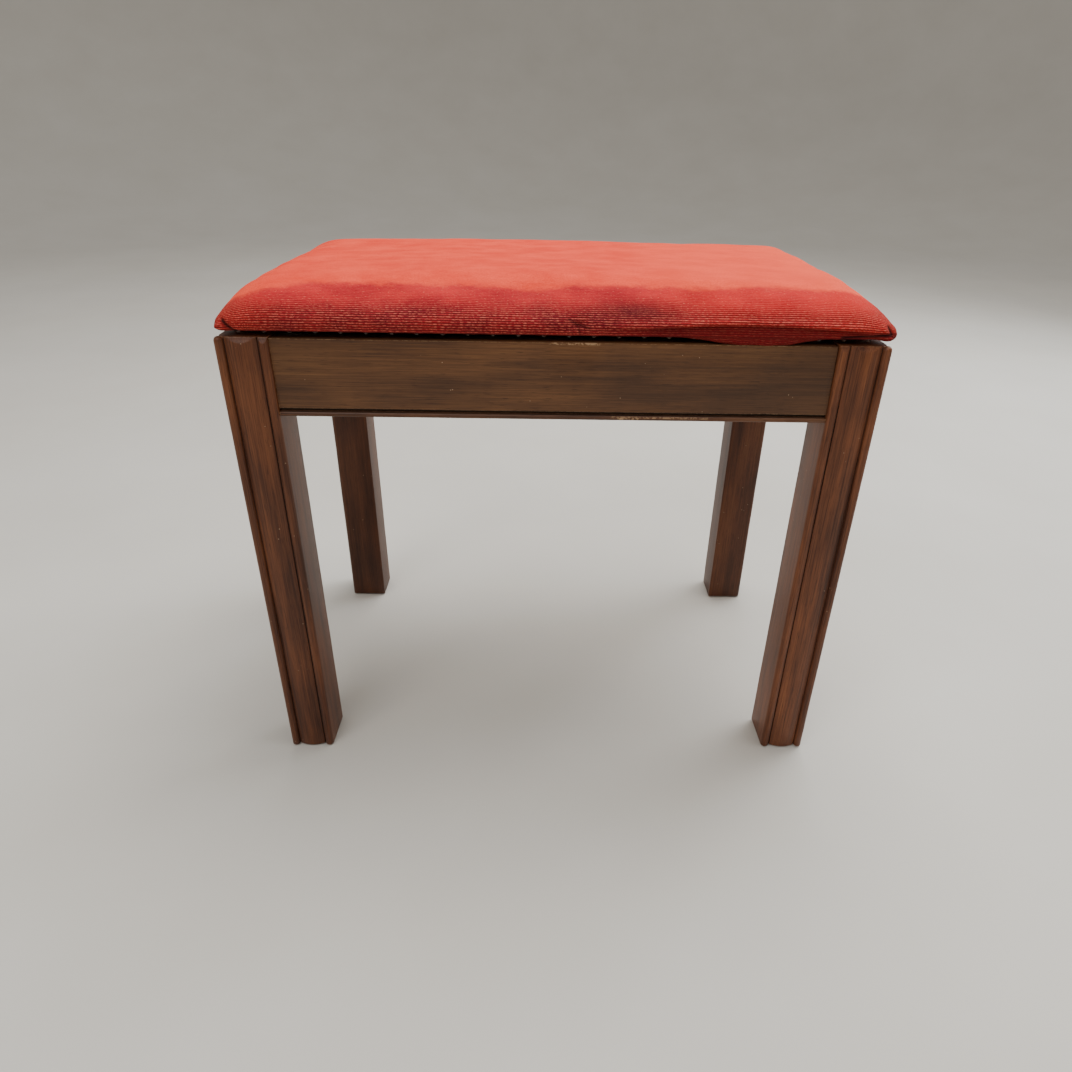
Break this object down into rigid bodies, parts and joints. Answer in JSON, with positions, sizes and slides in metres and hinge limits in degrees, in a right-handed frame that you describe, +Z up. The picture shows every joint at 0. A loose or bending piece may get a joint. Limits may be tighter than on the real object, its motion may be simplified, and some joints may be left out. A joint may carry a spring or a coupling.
{
  "type": "piano bench",
  "caption": "Oblong piano bench with square reeded legs, a moulded apron that forms a shallow music box, and a hinged velvet-covered padded seat with a folding stay.",
  "frame": {"origin": "on the floor, under the middle of the bench", "axes": "+Z up, +X along the width to the right of someone facing the front, +Y from the front to the hinged rear edge"},
  "size_m": [0.56, 0.34, 0.485],
  "materials": {
    "leg_wood": "dark stained and polished, worn at the edges, grain along the leg",
    "long_rail_wood": "dark stained and polished, grain along the rail, bare on the top edge at the middle",
    "short_rail_wood": "dark stained and polished, grain along the rail",
    "long_bead_wood": "dark stained and polished, chipped along the nose",
    "short_bead_wood": "dark stained and polished",
    "plywood": "bare birch plywood",
    "wadding": "cotton felt and foam",
    "velvet": "ribbed plush, red, faded to salmon on top",
    "lining_cloth": "black woven cloth",
    "rubber": "black, dull",
    "steel": "bright",
    "brass": "tarnished"
  },
  "bodies": {
    "bench_frame": {"leg_front_left": "leg_wood", "leg_front_right": "leg_wood", "leg_rear_left": "leg_wood", "leg_rear_right": "leg_wood", "glide_front_left": "steel", "glide_front_right": "steel", "glide_rear_left": "steel", "glide_rear_right": "steel", "rail_front": "long_rail_wood", "rail_rear": "long_rail_wood", "rail_left": "short_rail_wood", "rail_right": "short_rail_wood", "bead_front": "long_bead_wood", "bead_rear": "long_bead_wood", "bead_left": "short_bead_wood", "bead_right": "short_bead_wood", "base_panel": "plywood", "panel_pins": "steel", "lid_buffer_left": "rubber", "lid_buffer_right": "rubber", "hinge_leaf_frame_left": "brass", "hinge_leaf_frame_right": "brass", "hinge_pin_left": "steel", "hinge_pin_right": "steel", "hinge_screws_frame": "brass", "stay_plate": "brass", "stay_plate_rivet": "steel", "stay_plate_screws": "brass"},
    "lid": {"seat_board": "plywood", "seat_padding": "wadding", "seat_cover": "velvet", "seat_lining": "lining_cloth", "seat_tacks": "steel", "lining_tacks": "steel", "hinge_leaf_lid_left": "brass", "hinge_leaf_lid_right": "brass", "hinge_screws_lid": "brass", "stay_bracket": "brass", "stay_bracket_pin": "steel", "stay_bracket_screws": "brass"},
    "stay_lower": {"stay_arm_lower": "brass", "stay_knee_rivet": "steel"},
    "stay_upper": {"stay_arm_upper": "brass"}
  },
  "joints": [
    {"name": "lid_hinge", "type": "hinge", "parent": "bench_frame", "child": "lid", "pos_m": [0, 0.1673, 0.4495], "axis": [-1, 0, 0], "range_deg": [0, 98]},
    {"name": "stay_lower_pivot", "type": "hinge", "parent": "bench_frame", "child": "stay_lower", "pos_m": [-0.256, 0.1053, 0.4195], "axis": [-1, 0, 0], "range_deg": [0, 98]},
    {"name": "stay_knee", "type": "hinge", "parent": "stay_lower", "child": "stay_upper", "pos_m": [-0.2542, -0.0127, 0.4115], "axis": [-1, 0, 0], "range_deg": [-98, 0]}
  ],
  "couplings": [
    {"joint": "stay_lower_pivot", "follows": "lid_hinge", "ratio": 1},
    {"joint": "stay_knee", "follows": "lid_hinge", "ratio": -1}
  ]
}
